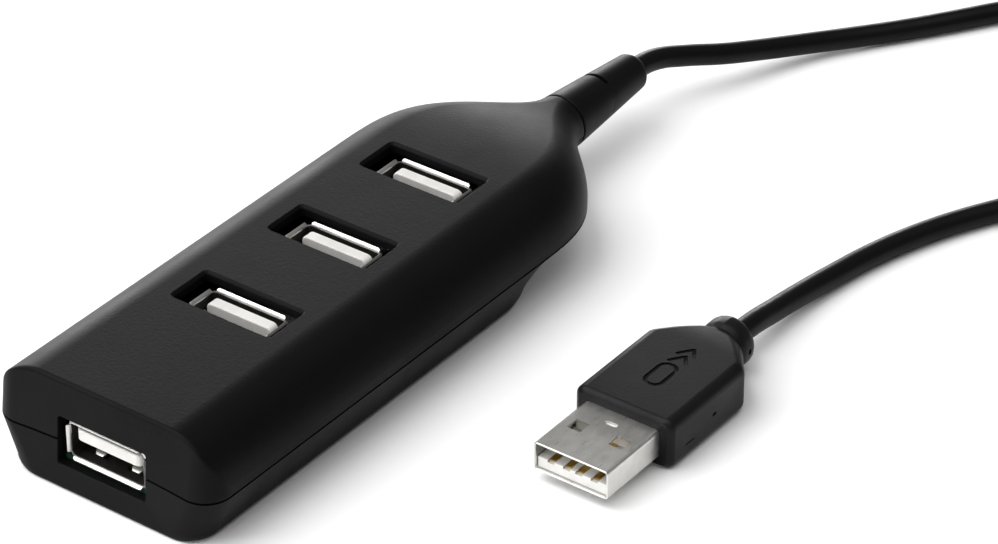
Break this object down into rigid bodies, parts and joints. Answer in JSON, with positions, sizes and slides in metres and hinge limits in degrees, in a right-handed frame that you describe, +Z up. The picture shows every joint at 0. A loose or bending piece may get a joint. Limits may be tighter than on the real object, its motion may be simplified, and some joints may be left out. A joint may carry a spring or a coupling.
{
  "type": "usb hub",
  "caption": "Bottle-shaped USB hub with receptacles in its top and front end, on a captive cable with a flat plug.",
  "frame": {"origin": "on the surface the case lies on, under the middle of the case's length and width", "axes": "+X along the case towards the cable, +Z up out of the top ports, +Y to the left of +X"},
  "size_m": [0.2037, 0.1064, 0.0166],
  "materials": {
    "case": "fine moulded texture",
    "board": "solder mask",
    "chip": "moulded epoxy",
    "tinned_lead": "tinned",
    "crystal_can": "drawn can",
    "capacitor_sleeve": "shrink sleeve",
    "ceramic": "fired ceramic",
    "resistor": "glazed",
    "wire_red": "PVC insulation",
    "wire_white": "PVC insulation",
    "wire_green": "PVC insulation",
    "wire_black": "PVC insulation",
    "relief": "satin moulded",
    "jacket": "satin extruded PVC",
    "tie": "moulded nylon",
    "grip": "satin moulded PVC",
    "nickel": "nickel plated",
    "insulator": "moulded thermoplastic",
    "contact": "gold flashed"
  },
  "bodies": {
    "root": {"top_shell": "case", "bottom_shell": "case", "circuit_board": "board", "front_port_shell": "nickel", "front_port_insulator": "insulator", "front_port_contacts": "contact", "port_1_shell": "nickel", "port_1_insulator": "insulator", "port_1_contacts": "contact", "port_2_shell": "nickel", "port_2_insulator": "insulator", "port_2_contacts": "contact", "port_3_shell": "nickel", "port_3_insulator": "insulator", "port_3_contacts": "contact", "hub_chip": "chip", "hub_chip_leads": "tinned_lead", "crystal": "crystal_can", "bulk_capacitor": "capacitor_sleeve", "ceramic_capacitors": "ceramic", "resistors": "resistor", "wire_red": "wire_red", "wire_white": "wire_white", "wire_green": "wire_green", "wire_black": "wire_black", "strain_relief": "relief", "cable_to_coil": "jacket", "cable_coil": "jacket", "cable_to_plug": "jacket", "cable_tie": "tie", "plug_grip": "grip", "plug_shell": "nickel", "plug_insulator": "insulator", "plug_contacts": "contact"}
  },
  "joints": []
}
